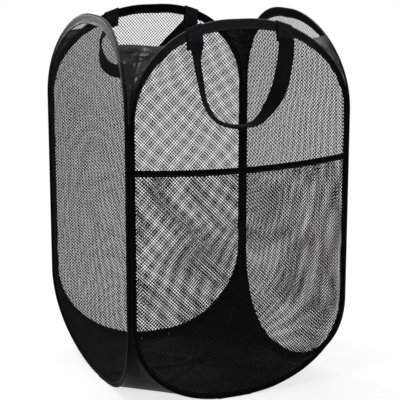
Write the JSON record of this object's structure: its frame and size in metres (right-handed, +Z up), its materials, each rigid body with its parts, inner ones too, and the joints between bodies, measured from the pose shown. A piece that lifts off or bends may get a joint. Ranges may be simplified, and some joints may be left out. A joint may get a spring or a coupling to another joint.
{
  "type": "pop up laundry hamper",
  "caption": "Square pop up laundry hamper with net walls on sprung wire loops, satin corner gussets, a net front pocket and two webbing handles; its walls fold flat about the corner seams.",
  "frame": {"origin": "middle of the base's underside, on the floor", "axes": "+Z up out of the open mouth, -Y towards the front wall with the pocket, +X towards the right wall"},
  "size_m": [0.384, 0.5034, 0.61],
  "materials": {
    "spring_steel": "bright drawn spring steel wire with a crimped steel ferrule",
    "net_cloth": "black knitted polyester net with small diamond holes",
    "binding_tape": "black polyester binding tape, folded and stitched",
    "satin_cloth": "black coated polyester taffeta with a soft sheen",
    "webbing": "black woven polypropylene webbing"
  },
  "bodies": {
    "back_wall": {"back_wire_loop": "spring_steel", "back_wire_ferrule": "spring_steel", "back_casing": "binding_tape", "back_net": "net_cloth", "back_handle_left_end": "webbing", "back_handle_right_end": "webbing", "base_panel": "satin_cloth"},
    "back_left_corner": {"back_left_seam": "binding_tape", "back_left_top_gusset": "satin_cloth", "back_left_gusset_hem": "satin_cloth", "back_left_foot_gusset": "satin_cloth"},
    "left_wall": {"left_wire_loop": "spring_steel", "left_wire_ferrule": "spring_steel", "left_casing": "binding_tape", "left_net": "net_cloth"},
    "front_left_corner": {"front_left_seam": "binding_tape", "front_left_top_gusset": "satin_cloth", "front_left_gusset_hem": "satin_cloth", "front_left_foot_gusset": "satin_cloth"},
    "front_wall": {"front_wire_loop": "spring_steel", "front_wire_ferrule": "spring_steel", "front_casing": "binding_tape", "front_net": "net_cloth", "pocket_net": "net_cloth", "pocket_binding": "binding_tape", "front_handle_left_end": "webbing", "front_handle_right_end": "webbing"},
    "back_right_corner": {"back_right_seam": "binding_tape", "back_right_top_gusset": "satin_cloth", "back_right_gusset_hem": "satin_cloth", "back_right_foot_gusset": "satin_cloth"},
    "right_wall": {"right_wire_loop": "spring_steel", "right_wire_ferrule": "spring_steel", "right_casing": "binding_tape", "right_net": "net_cloth"},
    "front_right_corner": {"front_right_seam": "binding_tape", "front_right_top_gusset": "satin_cloth", "front_right_gusset_hem": "satin_cloth", "front_right_foot_gusset": "satin_cloth"},
    "front_handle": {"front_handle_strap": "webbing"},
    "back_handle": {"back_handle_strap": "webbing"}
  },
  "joints": [
    {"name": "back_left_seam_fold", "type": "hinge", "parent": "back_wall", "child": "back_left_corner", "pos_m": [-0.1848, 0.1898, 0], "axis": [0, 0, 1], "range_deg": [-34, 34], "stiffness_Nm_per_rad": 0.3, "deforming": ["back_left_top_gusset", "back_left_gusset_hem", "back_left_foot_gusset", "base_panel"]},
    {"name": "left_wall_fold", "type": "hinge", "parent": "back_left_corner", "child": "left_wall", "pos_m": [-0.1898, 0.1848, 0], "axis": [0, 0, 1], "range_deg": [-34, 34]},
    {"name": "front_left_seam_fold", "type": "hinge", "parent": "left_wall", "child": "front_left_corner", "pos_m": [-0.1898, -0.1848, 0], "axis": [0, 0, 1], "range_deg": [-34, 34], "deforming": ["front_left_top_gusset", "front_left_gusset_hem", "front_left_foot_gusset"]},
    {"name": "front_wall_fold", "type": "hinge", "parent": "front_left_corner", "child": "front_wall", "pos_m": [-0.1848, -0.1898, 0], "axis": [0, 0, 1], "range_deg": [-34, 34]},
    {"name": "back_right_seam_fold", "type": "hinge", "parent": "back_wall", "child": "back_right_corner", "pos_m": [0.1848, 0.1898, 0], "axis": [0, 0, 1], "range_deg": [-34, 34], "deforming": ["back_right_top_gusset", "back_right_gusset_hem", "back_right_foot_gusset"]},
    {"name": "right_wall_fold", "type": "hinge", "parent": "back_right_corner", "child": "right_wall", "pos_m": [0.1898, 0.1848, 0], "axis": [0, 0, 1], "range_deg": [-34, 34]},
    {"name": "front_right_seam_fold", "type": "hinge", "parent": "right_wall", "child": "front_right_corner", "pos_m": [0.1898, -0.1848, 0], "axis": [0, 0, 1], "range_deg": [-34, 34], "deforming": ["front_right_top_gusset", "front_right_gusset_hem", "front_right_foot_gusset"]},
    {"name": "front_handle_swing", "type": "hinge", "parent": "front_wall", "child": "front_handle", "pos_m": [0, -0.18365, 0.57834], "axis": [-1, 0, 0], "range_deg": [0, 170]},
    {"name": "back_handle_swing", "type": "hinge", "parent": "back_wall", "child": "back_handle", "pos_m": [0, 0.18365, 0.57834], "axis": [1, 0, 0], "range_deg": [-30, 140]}
  ],
  "couplings": [
    {"joint": "left_wall_fold", "follows": "back_left_seam_fold", "ratio": 1},
    {"joint": "front_left_seam_fold", "follows": "back_left_seam_fold", "ratio": -1},
    {"joint": "front_wall_fold", "follows": "back_left_seam_fold", "ratio": -1},
    {"joint": "back_right_seam_fold", "follows": "back_left_seam_fold", "ratio": 1},
    {"joint": "right_wall_fold", "follows": "back_left_seam_fold", "ratio": 1},
    {"joint": "front_right_seam_fold", "follows": "back_left_seam_fold", "ratio": -1}
  ]
}
